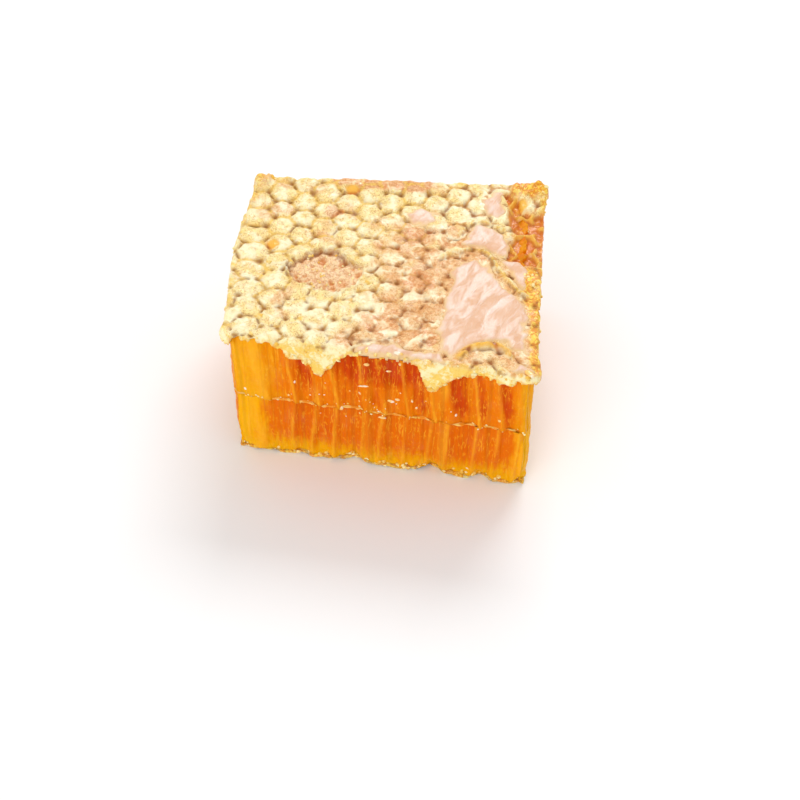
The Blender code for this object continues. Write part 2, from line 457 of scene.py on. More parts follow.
class Finish:
    """One material, built up node by node."""

    def __init__(self, name, **constants):
        self.material = bpy.data.materials.new(name)
        self.material.use_nodes = True
        self.tree = self.material.node_tree
        self.shader = self.tree.nodes["Principled BSDF"]
        for socket, value in constants.items():
            self.shader.inputs[socket.replace("_", " ")].default_value = value
        self.place = self.node("ShaderNodeTexCoord", output="Object")

    def node(self, kind, settings=None, sockets=None, output=0):
        made = self.tree.nodes.new(kind)
        for name, value in (settings or {}).items():
            setattr(made, name, value)
        for name, value in (sockets or {}).items():
            self.plug(made.inputs[name], value)
        return Wire(self, made.outputs[output])

    def plug(self, entry, value):
        if isinstance(value, Wire):
            self.tree.links.new(value.socket, entry)
        else:
            entry.default_value = value

    def feed(self, socket, value):
        self.plug(self.shader.inputs[socket], value)

    def mark(self, name):
        return self.node("ShaderNodeAttribute", {"attribute_name": name}, output="Fac")

    def grain(self, size, detail=2.0, rough=0.5, long=(1, 1, 1), twist=0.0, turn=0.0):
        """Noise whose bumps are about size mm across, and longer along some axes."""
        place = self.node("ShaderNodeMapping", {"vector_type": "TEXTURE"}, {
            "Vector": self.place, "Rotation": (0, 0, turn), "Scale": long})
        return self.node("ShaderNodeTexNoise", {}, {
            "Vector": place, "Scale": 1 / (size * MM), "Detail": detail, "Roughness": rough,
            "Distortion": twist})

    def between(self, value, low, high):
        """0 below low, 1 above high, smooth in between."""
        return self.node("ShaderNodeMapRange", {"interpolation_type": "SMOOTHSTEP"}, {
            "Value": value, "From Min": low, "From Max": high})

    def line(self, value, level, width):
        """1 where value is at level, fading out within width of it."""
        gap = self.node("ShaderNodeMath", {"operation": "ABSOLUTE"}, {0: value - level})
        return 1 - self.between(gap, 0.0, width)

    def blend(self, share, first, second):
        """The first colour where share is 0, the second where it is 1."""
        return self.node("ShaderNodeMix", {"data_type": "RGBA"}, {
            0: share, 6: first, 7: second}, output=2)

    def bump(self, height, distance):
        normal = self.node("ShaderNodeBump", {}, {"Height": height, "Distance": distance * MM})
        self.feed("Normal", normal)


def capping_wax():
    """Cream cappings: tan valleys, brown pits darkened with painted shade, peach smears, torn yellow
    rims.
    """
    wax = Finish("capping wax", Specular_IOR_Level=0.3, Subsurface_Weight=0.12,
                 Subsurface_Scale=0.001, Subsurface_Radius=(1.0, 0.7, 0.35),
                 Coat_Roughness=0.14, Coat_IOR=1.45)
    dome, pit_and_shade, torn, ripe = (wax.mark(name) for name in ("dome", "pit_and_shade", "torn", "ripe"))
    amber, yolk, peach, rim = (wax.mark(name) for name in ("amber", "yolk", "peach", "rim"))
    blotch = wax.grain(3.4, 3.0, 0.6, twist=0.6)
    speck = wax.grain(0.75, 3.0, 0.62, twist=0.5)
    crinkle = wax.grain(1.1, 3.0, 0.6, twist=1.2)
    cream = wax.blend(wax.between(blotch, 0.36, 0.62), tint(255, 246, 206), tint(254, 229, 156))
    colour = wax.blend(wax.between(speck, 0.48, 0.66) * 0.3, cream, tint(236, 186, 100))
    soft_peach = wax.blend(wax.between(speck, 0.4, 0.62), tint(242, 193, 140), tint(224, 152, 92))
    colour = wax.blend(peach * wax.between(blotch, 0.28, 0.54) * 0.85, colour, soft_peach)
    valley = wax.blend(ripe, tint(240, 196, 88), tint(214, 146, 74))
    low = 1 - wax.between(dome + (speck - 0.5) * 1.1, 0.05, 0.65)
    colour = wax.blend(low * 0.85, colour, valley)
    scribble = wax.line(crinkle, 0.5, 0.034) * wax.between(blotch, 0.38, 0.54)
    colour = wax.blend(scribble * 0.8, colour, tint(182, 112, 44))
    scraped = wax.blend(wax.between(dome + (speck - 0.5) * 0.7, 0.15, 0.8),
                        tint(222, 142, 74), tint(254, 218, 170))
    scraped = wax.blend(wax.line(crinkle, 0.5, 0.07) * 0.6, scraped, tint(190, 106, 44))
    colour = wax.blend(torn * 0.95, colour, scraped)
    fresh = wax.blend(wax.between(blotch + (speck - 0.5) * 0.6, 0.4, 0.6),
                      tint(255, 242, 186), tint(250, 208, 92))
    colour = wax.blend(rim * 0.9, colour, fresh)
    crumpled = wax.blend(wax.between(crinkle, 0.4, 0.56), tint(255, 218, 84), tint(232, 146, 24))
    colour = wax.blend(yolk, colour, crumpled)
    honey = wax.blend(wax.between(dome + (speck - 0.5) * 0.6, 0.1, 0.8),
                      tint(214, 112, 10), tint(246, 186, 70))
    colour = wax.blend(amber, colour, honey)
    # Painted shade: dark brown in the pits, along the cell walls, in front of the ledges and round
    # the torn patch.
    colour = wax.blend(pit_and_shade * 0.9, colour, tint(150, 84, 30))
    wax.feed("Base Color", colour)
    wet = wax.between(wax.grain(4.0, 2.0, 0.5), 0.46, 0.6)
    wax.feed("Coat Weight", wet * 0.35 + amber * 0.4)
    wax.feed("Roughness", 0.55 - wet * 0.15)
    wax.bump(crinkle + speck * 0.35, 0.26)
    return wax.material


def honey_comb(name, deep, warm, light, foot):
    """Honey behind thin wax walls, deeper in colour where the cut cells sit back: partly the honey's
    own depth of colour, partly painted shade.
    """
    honey = Finish(name, Specular_IOR_Level=0.05, Subsurface_Weight=0.15, Subsurface_Scale=0.002,
                   Subsurface_Radius=(1.0, 0.5, 0.05), Coat_Roughness=0.1, Coat_IOR=1.45)
    wall, depth, low = honey.mark("wall"), honey.mark("depth"), honey.mark("low")
    amber = honey.mark("amber")
    fibre = honey.grain(0.8, 3.0, 0.6, (1, 1, 8))
    stripe = honey.grain(2.2, 2.0, 0.5, (1, 1, 6))
    cloud = honey.grain(3.5, 3.0, 0.6, (1, 1, 1.7))
    grit = honey.grain(0.7, 3.0, 0.6, (1, 1, 2))
    # Painted shade in part: the depth mark darkens the recessed cells.
    shade = depth + (cloud - 0.5) * 0.7 + (fibre - 0.5) * 0.7 + (stripe - 0.5) * 0.5
    colour = honey.blend(honey.between(shade, 0.15, 0.95), warm, deep)
    sunny = amber + (cloud - 0.5) * 0.8 + (fibre - 0.5) * 0.5
    colour = honey.blend(honey.between(sunny, 0.25, 0.8), colour, light)
    colour = honey.blend(honey.between(low + (fibre - 0.5) * 0.9, 0.3, 0.9) * 0.9, colour, foot)
    colour = honey.blend(honey.between(sunny, 0.65, 1.15) * 0.35, colour, tint(255, 196, 24))
    thread = honey.line(honey.grain(1.5, 3.0, 0.6, (1, 1, 12)), 0.5, 0.02)
    colour = honey.blend(thread * honey.between(cloud, 0.4, 0.56) * 0.55, colour,
                         tint(255, 190, 50))
    colour = honey.blend(honey.between(grit, 0.56, 0.7) * 0.45, colour, tint(255, 180, 40))
    colour = honey.blend(wall * 0.6, colour, tint(255, 176, 40))
    honey.feed("Base Color", colour)
    honey.feed("Roughness", 0.3 + wall * 0.2)
    honey.feed("Coat Weight", honey.between(honey.grain(5.0, 2.0, 0.5), 0.52, 0.64) * 0.15)
    honey.bump(fibre + grit * 0.6, 0.22)
    return honey.material


def rib_wax():
    wax = Finish("midrib wax", Roughness=0.4, Specular_IOR_Level=0.2, Subsurface_Weight=0.15,
                 Subsurface_Scale=0.001, Subsurface_Radius=(1.0, 0.5, 0.1))
    patch = wax.grain(1.6, 3.0, 0.6)
    colour = wax.blend(wax.between(patch, 0.44, 0.6), tint(250, 148, 20), tint(255, 200, 104))
    wax.feed("Base Color", colour)
    wax.bump(wax.grain(0.5, 2.0, 0.6), 0.1)
    return wax.material


def film_honey():
    """The honey lying over the cappings, painted pale pink with lighter and darker streaks as a
    painted reflection.
    """
    film = Finish("honey film", Roughness=0.5, Specular_IOR_Level=0.15, Subsurface_Weight=0.1,
                  Subsurface_Scale=0.001, Subsurface_Radius=(1.0, 0.7, 0.4), Coat_Roughness=0.12,
                  Coat_IOR=1.45)
    haze = film.grain(3.0, 3.0, 0.6, (1, 2.2, 1), 1.0, -0.4)
    reflection_streak = film.grain(1.1, 3.0, 0.65, (1, 3.5, 1), 0.8, -0.4)
    # Painted reflection: the pale pinks and the streaks stand for a soft light mirrored in the
    # honey.
    colour = film.blend(film.between(haze, 0.38, 0.6), tint(230, 184, 150), tint(241, 210, 190))
    colour = film.blend(film.between(reflection_streak, 0.5, 0.72) * 0.4, colour, tint(252, 234, 224))
    colour = film.blend(film.between(reflection_streak, 0.46, 0.3) * 0.2, colour, tint(220, 160, 118))
    colour = film.blend(film.mark("thin") * 0.9, colour, tint(242, 204, 146))
    film.feed("Base Color", colour)
    film.feed("Coat Weight", film.between(haze, 0.48, 0.6) * 0.25)
    film.bump(haze + reflection_streak * 0.5, 0.45)
    return film.material


def crumb_wax():
    """Torn bits of wax, cream to yellow."""
    wax = Finish("wax crumbs", Roughness=0.5, Specular_IOR_Level=0.3, Subsurface_Weight=0.1,
                 Subsurface_Scale=0.001, Subsurface_Radius=(1.0, 0.7, 0.3))
    patch = wax.grain(2.4, 3.0, 0.6)
    colour = wax.blend(wax.between(patch, 0.4, 0.62), tint(255, 238, 176), tint(246, 190, 70))
    wax.feed("Base Color", colour)
    wax.bump(wax.grain(0.5, 2.0, 0.6), 0.12)
    return wax.material


def bead_honey():
    """Small wet beads and air bubbles, pale cream to whitish as painted highlights."""
    bead = Finish("wet beads", Roughness=0.08, Coat_Weight=1.0, Coat_Roughness=0.04)
    painted_highlight = bead.between(bead.grain(1.8, 1.0, 0.5), 0.42, 0.6)
    bead.feed("Base Color", bead.blend(painted_highlight, tint(255, 204, 110), tint(255, 240, 214)))
    return bead.material


# ---------------------------------------------------------------- cappings

def front_drop(place):
    along, drop = zip(*FRONT_FRINGE)
    return np.interp(place, along, drop)


def fold_over(spots, outside, way, radius):
    """Bends what lies beyond the fold down over the cut edge, keeping its length."""
    beyond = np.maximum(outside + radius, 0)
    quarter = radius * math.pi / 2
    angle = np.minimum(beyond / radius, math.pi / 2)
    reach = radius * np.sin(angle) - beyond
    drop = radius * (1 - np.cos(angle)) + np.maximum(beyond - quarter, 0)
    folded = spots.copy()
    folded[:, :2] += way * reach[:, None]
    folded[:, 2] -= drop
    return folded, outside + radius - quarter


def sheet_grid(name, low, high, step):
    """A flat grid over a rectangle in mm."""
    start_piece()
    width, depth = high[0] - low[0], high[1] - low[1]
    bpy.ops.mesh.primitive_grid_add(
        x_subdivisions=round(width / step), y_subdivisions=round(depth / step), size=1,
        location=((low[0] + high[0]) / 2 * MM, (low[1] + high[1]) / 2 * MM, 0))
    bpy.ops.transform.resize(value=(width * MM, depth * MM, 1))
    settle()
    return named(name)


def close_rim(piece, corners, inward, down, floor):
    """Gives a torn sheet its thickness at the rim and closes it with a hidden floor."""
    floor_inset = 4.5
    for move in ("edge", "floor"):
        select_open_edges()
        bpy.ops.mesh.extrude_region_move()
        fresh = selected_verts(piece)
        spots = spots_of(piece)
        outside, way, _ = plan_distance(spots[fresh, :2], corners)
        if move == "edge":
            spots[fresh, :2] -= way * inward
            spots[fresh, 2] -= down
        else:
            spots[fresh, :2] -= way * (outside + floor_inset)[:, None]
            spots[fresh, 2] = floor
        put_spots(piece, spots)
    select_open_edges()
    bpy.ops.mesh.edge_face_add()
    bpy.ops.object.mode_set(mode="OBJECT")


def soften_rim(rounds):
    select_open_edges()
    bpy.ops.mesh.select_mode(type="VERT")
    bpy.ops.mesh.vertices_smooth(factor=0.5, repeat=rounds)
    bpy.ops.object.mode_set(mode="OBJECT")


def peach_share(points, flat):
    """Where the caps are peach: in patches, towards the front right and on the named spots."""
    across, along = points[:, 0], points[:, 1]
    cloud = ripple(flat, 7.0, 5, 2)
    towards = smooth(across, -16, 8) * smooth(16 - along, -6, 12)
    peach = smooth(0.6 * cloud + 0.8 * towards, 0.2, 0.8)
    peach = np.maximum(peach, 0.8 * smooth(cloud, 0.2, 0.6))
    return np.maximum(peach, 1.4 * blots(points, PEACH_SPOTS, 0.4 * cloud, 0.5, 1.2))


def cap_relief(points, flat, wobble, peach):
    """The caps: plump at the back left, low and run together at the front, pits between, sunk a
    little and marked for painted shade.
    """
    across, along = points[:, 0], points[:, 1]
    cell, wall, corner = cell_field(points + wobble * 0.4, UPPER_CELLS)
    rise = luck_table(len(UPPER_CELLS), 11, 0.32, 0.62)[cell]
    plump = smooth(along - 0.6 * across, 2, 30)
    front = smooth(-along, 2, 20)
    merged = smooth(ripple(flat, 4.2, 28) + 0.25 - 0.9 * plump + 0.3 * front, -0.1, 0.5)
    dome = 1 - (1 - np.clip(wall / (1.7 + 0.6 * plump), 0, 1)) ** 2.6
    dome = 1 - (1 - dome) * (1 - 0.75 * merged * smooth(corner, 0.3, 1.0))
    height = dome * rise * (0.6 + 0.75 * plump - 0.2 * front) * (1 - 0.3 * peach)
    height += 0.20 * ripple(flat, 2.0, 8) + 0.15 * ripple(flat, 1.0, 9)
    # Pits at the cell corners and dashes along the walls: a shallow dip, which the wax paints dark
    # as shade.
    pit_and_shade = np.exp(-(corner / 0.66) ** 2) * smooth(ripple(flat, 2.6, 10), -0.35, 0.25)
    dash = np.exp(-(wall / 0.28) ** 2) * smooth(ripple(flat, 1.9, 12), 0.0, 0.4)
    pit_and_shade = np.maximum(pit_and_shade, 0.95 * dash * smooth(corner, 0.2, 0.9))
    return height - 0.42 * pit_and_shade, dome, pit_and_shade, wall


def ledge_relief(points, flat, wobble, grit):
    """The ledges and the fold, and the painted shadow lines under them and along the front rim,
    where the surface also dips a little.
    """
    crease, under = np.zeros(len(points)), np.zeros(len(points))
    for path, wide in ((WAVY_LEDGE, 0.4), (LONG_LEDGE, 0.5), (AMBER_FOLD, 0.8)):
        far = path_distance(points + wobble * 0.5, path) + 0.18 * grit
        crease = np.maximum(crease, np.exp(-(far / wide) ** 2))
        # Painted shadow: a dark line on the front side of each ledge.
        near_side = path_distance(points + (0.0, wide + 0.35), path) + 0.15 * grit
        under = np.maximum(under, np.exp(-(near_side / 0.28) ** 2))
    # Painted shade along the torn crease by the front rim.
    rip = path_distance(points + wobble, RIM_CREASE) + 0.25 * grit
    under = np.maximum(under, np.exp(-(rip / 0.45) ** 2))
    crease *= 0.7 + 0.3 * smooth(ripple(flat, 2.2, 29), -0.5, 0.2)
    under *= smooth(ripple(flat, 1.6, 30), -0.5, 0.2)
    fold = np.exp(-(path_distance(points, AMBER_FOLD) / 0.8) ** 2)
    return crease, under, fold


def top_relief(points, outside):
    """Heights in mm over the cappings' valleys, and the marks that colour them."""
    flat = on_plan(points)
    across, along = points[:, 0], points[:, 1]
    wobble = np.column_stack((ripple(flat, 5.0, 3), ripple(flat, 5.0, 4)))
    grit = ripple(flat, 1.5, 14, 2)
    ripe = smooth(across - 0.4 * along + 3 * ripple(flat, 9.0, 6), -12, 12)
    peach = peach_share(points, flat)
    height, dome, pit_and_shade, wall = cap_relief(points, flat, wobble, peach)

    torn_edge = region(points, TORN) + 0.55 * ripple(flat, 2.2, 15) + 0.3 * ripple(flat, 0.9, 25)
    torn = 1 - smooth(torn_edge, -0.5, 0.2)
    lip = np.exp(-((torn_edge - 0.35) / 0.4) ** 2)
    # Painted shade: a dark ring just inside the torn edge, on the far side of the patch.
    shade = np.exp(-((torn_edge + 0.45) / 0.35) ** 2) * smooth(along - 0.4 * across, -2, 5)
    curl = (1 - np.abs(ripple(flat, 3.0, 24, 3))) ** 2
    height = height * (1 - torn) + torn * (curl - 1.1) + 0.4 * lip
    scraped = blots(points, SCRAPED_CELLS, 0.25 * ripple(flat, 1.4, 21), 0.6, 1.05)
    height -= scraped * (0.2 - 0.25 * grit)

    smear = patch(points, SMEAR, 0.8 * ripple(flat, 3.0, 17), -1.0, 0.6)
    folds = ripple(flat * (0.35, 1.6, 1), 1.8, 22, 2)
    height = height * (1 - 0.7 * smear) + smear * (0.45 + 0.35 * folds)
    peach = np.maximum(peach, 1.8 * smear)

    crumple = np.abs(ripple(flat, 1.7, 23, 2))
    lump = blots(points, LUMPS, 0.18 * ripple(flat, 1.8, 18), 0.55, 1.1)
    height = height * (1 - 0.7 * lump) + lump * (0.6 + 1.3 * crumple)
    strip = patch(points, RIGHT_STRIP, 0.6 * ripple(flat, 2.4, 26), -0.6, 0.5)
    height = height * (1 - 0.6 * strip) + strip * (0.35 * crumple - 0.1)

    opened = patch(points, OPENED, 0.6 * ripple(flat, 2.6, 16), -0.7, 0.3) * (1 - lump)
    leaf = np.exp(-((wall + 0.2 * grit) / 0.38) ** 2) * smooth(ripple(flat, 2.4, 32), -0.5, 0.2)
    cellar = -1.25 + 1.15 * leaf + 0.35 * grit
    height = height * (1 - opened) + opened * cellar
    runny = blots(points, HONEY_CELLS, 0.15 * ripple(flat, 1.4, 27), 0.7, 1.1)
    height -= 0.35 * runny
    height *= 1 - 0.6 * (1 - smooth(film_reach(points), -0.6, 0.6))

    crease, under, fold = ledge_relief(points, flat, wobble, grit)
    height += 0.7 * crease + 0.25 * fold - 0.2 * under
    edge = smooth(outside, -1.8, -0.2) * smooth(ripple(flat, 2.2, 19), -0.9, 0.3)
    height += edge * 0.28 * ripple(flat, 1.2, 20)

    pit_and_shade *= (1 - torn) * (1 - lump) * (1 - smear) * (1 - 0.8 * opened)
    yolk = np.maximum(lump, 0.85 * strip) * (1 - 0.7 * crease)
    marks = {
        "dome": np.where(opened > 0.5, leaf + 0.25 + 0.3 * grit, np.where(torn > 0.5, curl, dome)),
        # Painted shade: the pits, the lines in front of the ledges and the ring in the torn patch.
        "pit_and_shade": np.clip(np.maximum(pit_and_shade, 0.85 * under + 0.8 * shade), 0, 1),
        "torn": np.maximum(torn, scraped),
        "ripe": ripe,
        "peach": peach,
        "amber": np.maximum.reduce((opened, runny, 0.95 * fold)),
        "yolk": yolk * (1 - 0.5 * smooth(-across, 10, 20)),
        "rim": np.clip(np.maximum(edge * 0.8, crease * 0.9) * (1 - smear), 0, 1),
    }
    return height, marks


def make_cappings(wax):
    """The upper cappings, folded over the cut edge and torn off in a ragged fringe."""
    piece = sheet_grid("cappings", TOP_PLAN.min(0) - 9.9, TOP_PLAN.max(0) + 3.5, SHEET_STEP)
    spots = spots_of(piece)
    outside, way, place = plan_distance(spots[:, :2], TOP_PLAN)
    anchor = spots[:, :2] - way * np.maximum(outside, 0)[:, None]
    height, marks = top_relief(anchor, outside)
    spots[:, 2] = valley_level(anchor) + height * (1 - 0.5 * smooth(outside, -0.8, 0.6))
    spots, hang = fold_over(spots, outside, way, FOLD_RADIUS)
    rim, draped = along_rim(place), on_wall(place, hang)

    tear = 0.9 * ripple(rim, 2.4, 31, 2) + 0.6 * ripple(rim, 0.9, 34)
    sides = 1.0 + 0.9 * ripple(rim, 4.2, 32)
    drop = np.where(way[:, 1] < -0.8, front_drop(place) - FOLD_RADIUS, sides) + tear
    drop += 0.5 * ripple(draped, 1.2, 35, 2)
    swell = 0.5 * ripple(draped, 2.2, 33, 2) + 0.06 * ripple(draped, 0.8, 36)
    swell = np.minimum(swell, 0.14) * smooth(hang, -1.0, 0.5)
    bulge = 1.5 * smooth(-way[:, 0], 0.5, 0.95) * np.exp(-((anchor[:, 1] - 1.0) / 15.0) ** 2)
    bulge += 0.7 * smooth(np.linalg.norm(anchor / (31.5, 26.5), axis=1), 1.25, 1.4)
    swell += bulge * smooth(outside, -6.0, -0.3)
    spots[:, :2] += way * (swell - 0.12)[:, None]
    put_spots(piece, spots)

    fringe = smooth(hang, -1.1, 0.2)
    ragged = 1 - smooth(drop - hang + 0.8 * ripple(draped, 1.8, 37), 0.0, 1.8)
    marks["rim"] = np.maximum(marks["rim"], fringe)
    marks["yolk"] = np.maximum(marks["yolk"], fringe * ragged * 0.8)
    for name in ("pit_and_shade", "torn", "peach"):
        marks[name] = marks[name] * (1 - fringe)
    put_marks(piece, marks)
    cut_away(piece, hang > drop)
    soften_rim(1)
    close_rim(piece, TOP_PLAN, 0.42, 0.12, CAP_TOP - 5.0)
    finish_shell()
    dress(piece, wax, "capping_wax", "cappings_top")
    return piece


def make_base_cappings(wax):
    """The flat cappings underneath, made face up like the others and then turned over."""
    piece = sheet_grid("base_cappings", BASE_PLAN.min(0) - 3.0, BASE_PLAN.max(0) + 3.0, BASE_STEP)
    spots = spots_of(piece)
    outside, way, place = plan_distance(spots[:, :2], BASE_PLAN)
    flat = on_plan(spots[:, :2])
    _, wall, corner = cell_field(spots[:, :2], LOWER_CELLS)
    dome = 1 - (1 - np.clip(wall / 2.2, 0, 1)) ** 2
    # Pits at the cell corners: a shallow dip, which the wax paints dark as shade.
    pit_and_shade = np.exp(-(corner / 0.7) ** 2) * smooth(ripple(flat, 3.0, 42), -0.2, 0.5)
    height = np.minimum(dome * 0.5 - 0.42 + 0.12 * ripple(flat, 8.0, 41), 0.0)
    spots[:, 2] = height - 0.25 * pit_and_shade
    notch = front_notch(place, way) + 0.8
    spots, hang = fold_over(spots, outside + notch, way, 0.6)
    rough = np.minimum(0.2 * ripple(on_wall(place, hang), 1.4, 45), 0.15)
    spots[:, :2] += way * (rough * smooth(hang, -0.9, 0.3))[:, None]
    spots[:, 2] *= -1
    put_spots(piece, spots)
    rim = smooth(hang, -1.0, 0.1)
    put_marks(piece, {
        "dome": dome, "pit_and_shade": pit_and_shade, "ripe": 0.3 + dome * 0, "rim": rim,
        "peach": 0.7 * smooth(ripple(flat, 7.0, 46), 0.1, 0.6),
        "yolk": rim, "amber": 0.2 * smooth(hang, -0.5, 0.2),
    })
    along = along_rim(place)
    cut_away(piece, hang > 0.15 + 0.55 * ripple(along, 3.6, 43) + 0.5 * ripple(along, 1.3, 44))
    soften_rim(2)
    close_rim(piece, BASE_PLAN, 0.5, -0.1, 2.6)
    finish_shell()
    dress(piece, wax, "capping_wax", "cappings_bottom")
    return piece


# ---------------------------------------------------------------- cut cells

# How far the foot of the front cut is torn back: distance along the edge, depth.
FRONT_FOOT = (
    (0, 0.9), (2.5, 0.1), (9, 0.2), (12.5, 0.8), (14.5, 0.1), (21.5, 0.3), (23.6, 1.9), (24.8, 1.5),
    (26.5, 0.2), (33, 0.1), (37.5, 0.6), (39.8, 2.3), (41.2, 2.0), (43, 0.4), (48, 0.1), (50.3, 1.7),
    (51.4, 1.2), (53, 0.1), (57.5, 0.3), (60, 1.4), (61, 0.6),
)
# Hollow cells in the front cut, sunk back and painted dark, partly as shade: middle, half width,
# foot and strength.
DARK_BANDS = (
    (-15.6, 1.7, 21.0, 0.5), (15.0, 1.6, 18.0, 0.62), (19.2, 1.3, 18.5, 0.5),
    (24.4, 1.3, 18.5, 0.55), (-2.4, 0.9, 16.5, 0.4), (6.6, 1.0, 16.5, 0.4), (11.4, 0.9, 17.0, 0.35),
)


def front_notch(place, way):
    """How far the foot of the front cut is torn back, in mm."""
    along, depth = zip(*FRONT_FOOT)
    return np.interp(place, along, depth) * smooth(-way[:, 1], 0.8, 0.97)


def wall_block(name, low, high):
    """An upright round block that is closely divided round its wall."""
    around = round(walk_rim(TOP_PLAN, np.ones(1))[2][0] / WALL_STEP)
    start_piece()
    bpy.ops.mesh.primitive_cylinder_add(
        vertices=around, radius=1.0, depth=(high - low) * MM, end_fill_type="NGON",
        location=(0, 0, (low + high) / 2 * MM))
    settle()
    return named(name), around


def share_round(piece):
    """Each vertex's share of the way round the block, and its level in mm."""
    x, y, level = spots_of(piece).T
    return np.arctan2(y, x) / (2 * math.pi) % 1.0, level


def comb_wall(name, low, high, centres, slant, seed):
    """A closed block whose walls are the comb's cut cells; returns it with its fields."""
    piece, around = wall_block(name, low, high)
    bpy.ops.object.mode_set(mode="EDIT")
    bpy.ops.mesh.select_mode(type="EDGE")
    bpy.ops.mesh.select_all(action="DESELECT")
    bpy.ops.object.mode_set(mode="OBJECT")
    for edge in piece.data.edges:
        first, second = (piece.data.vertices[index].co.z for index in edge.vertices)
        edge.select = abs(first - second) > MM
    bpy.ops.object.mode_set(mode="EDIT")
    bpy.ops.mesh.subdivide(number_cuts=round((high - low) / WALL_RISE) - 1)
    bpy.ops.object.mode_set(mode="OBJECT")

    share, level = share_round(piece)
    share = np.round(share * around) / around % 1.0
    rise = (level / CAP_TOP)[:, None]
    top_points, ways, place = walk_rim(TOP_PLAN, share)
    base_points, _, _ = walk_rim(BASE_PLAN, share)
    points = top_points * rise + base_points * (1 - rise)

    sway = 0.3 * ripple(on_wall(place * 0.4, level * 0.2), 2.0, seed)
    lean = np.column_stack((slant * (CAP_TOP - level) + sway, sway * 0.3))
    cell, wall, _ = cell_field(points - ways * 1.2 + lean, centres)
    fill = luck_table(len(centres), seed + 1)[cell]
    fluted = on_wall(place, level * 0.12)
    whole = smooth(ripple(fluted * 0.8, 2.0, seed + 4), -0.7, 0.1)
    crest = np.exp(-(wall / 0.28) ** 2) * whole
    dent = ripple(on_wall(place, level), 1.7, seed + 3, 2)
    inset = 1.2 + 0.75 * smooth(wall, 0.0, 1.4) * (0.45 + 0.55 * fill) - 0.22 * crest
    inset += 0.12 * ripple(fluted, 0.9, seed + 2) + 0.14 * dent
    return piece, {
        "points": points, "ways": ways, "place": place, "level": level, "inset": inset,
        "crest": crest, "fill": fill * smooth(wall, 0.0, 0.8), "dent": dent,
    }


def seat_wall(piece, fields, marks):
    """Moves the block's skin to its insets and tucks both ends in under the cappings."""
    level = fields["level"]
    skin = fields["points"] - fields["ways"] * fields["inset"][:, None]
    put_spots(piece, np.column_stack((skin, level)))
    put_marks(piece, marks)
    for end, edge in ((1, level.max()), (-1, level.min())):
        bpy.ops.object.mode_set(mode="EDIT")
        bpy.ops.mesh.select_mode(type="FACE")
        bpy.ops.mesh.select_all(action="DESELECT")
        bpy.ops.object.mode_set(mode="OBJECT")
        for face in piece.data.polygons:
            face.select = len(face.vertices) > 4 and abs(face.center.z / MM - edge) < 1.0
        bpy.ops.object.mode_set(mode="EDIT")
        bpy.ops.mesh.extrude_region_move(TRANSFORM_OT_translate={"value": (0, 0, -TUCK * end * MM)})
        bpy.ops.transform.resize(value=(0.86, 0.86, 1.0))
        bpy.ops.object.mode_set(mode="OBJECT")
    finish_shell()


def make_upper_comb(finish):
    """The upper cells, with the hollow under the middle of the fringe sunk back and painted dark,
    partly as shade.
    """
    low, high = RIB_BASE + RIB_LAP, CAP_TOP - WALL_TOP
    piece, fields = comb_wall("upper_comb", low, high, UPPER_CELLS, UPPER_SLANT, 51)
    level, place, ways, points = (fields[key] for key in ("level", "place", "ways", "points"))
    across = points[:, 0]
    front = smooth(-ways[:, 1], 0.5, 0.95)
    blur = 0.25 * ripple(on_wall(place, level * 0.35), 2.2, 58, 2)
    # Painted shade in part: the hollow under the fringe and the hollow bands are painted darker as
    # well as set back.
    cave = 1 - smooth(np.abs(across - 0.5) / (12.5 - 0.45 * (high - level)) + blur, 0.6, 1.15)
    deep = cave * smooth(level + 5 * blur, high - 13, high - 4)
    leaning = across + 0.14 * (level - high)
    for middle, half, foot, strength in DARK_BANDS:
        near = 1 - smooth(np.abs(leaning - middle) / half + 2 * blur, 0.4, 1.35)
        near *= strength * smooth(level + 8 * blur, foot - 1, foot + 4)
        deep = np.maximum(deep, near)
    deep = np.maximum(front * deep, (1 - front) * 0.5 * fields["fill"])
    fields["inset"] += 0.9 * deep + 0.35 * smooth(level, high - 3, high) - 0.25
    open_side = 1 - smooth(region(points, OPENED), 0.0, 2.5)
    fields["inset"] += 2.4 * open_side * smooth(level, high - 3.4, high - 1.8)
    sunny = 1.05 - smooth(across, -27, -15) + 0.9 * smooth(across, 26, 31)
    sunny += 0.35 * fields["fill"] * smooth(across, 10, 20)
    side = 0.5 + 0.35 * ripple(on_wall(place, level * 0.3), 9.0, 57)
    # Painted light: the side face towards the front right gets a lighter yellow, against the shade
    # it stands in.
    side += 0.5 * smooth(across, 24, 30) * smooth(-points[:, 1], 8, 24)
    seat_wall(piece, fields, {
        "wall": fields["crest"],
        "depth": np.clip(deep + 0.4 * fields["fill"] * front, 0, 1),
        "low": np.zeros(len(level)),
        "amber": np.clip(side + (sunny - side) * front, 0, 1),
    })
    dress(piece, finish, "honey_cells", "cells_upper")
    return piece


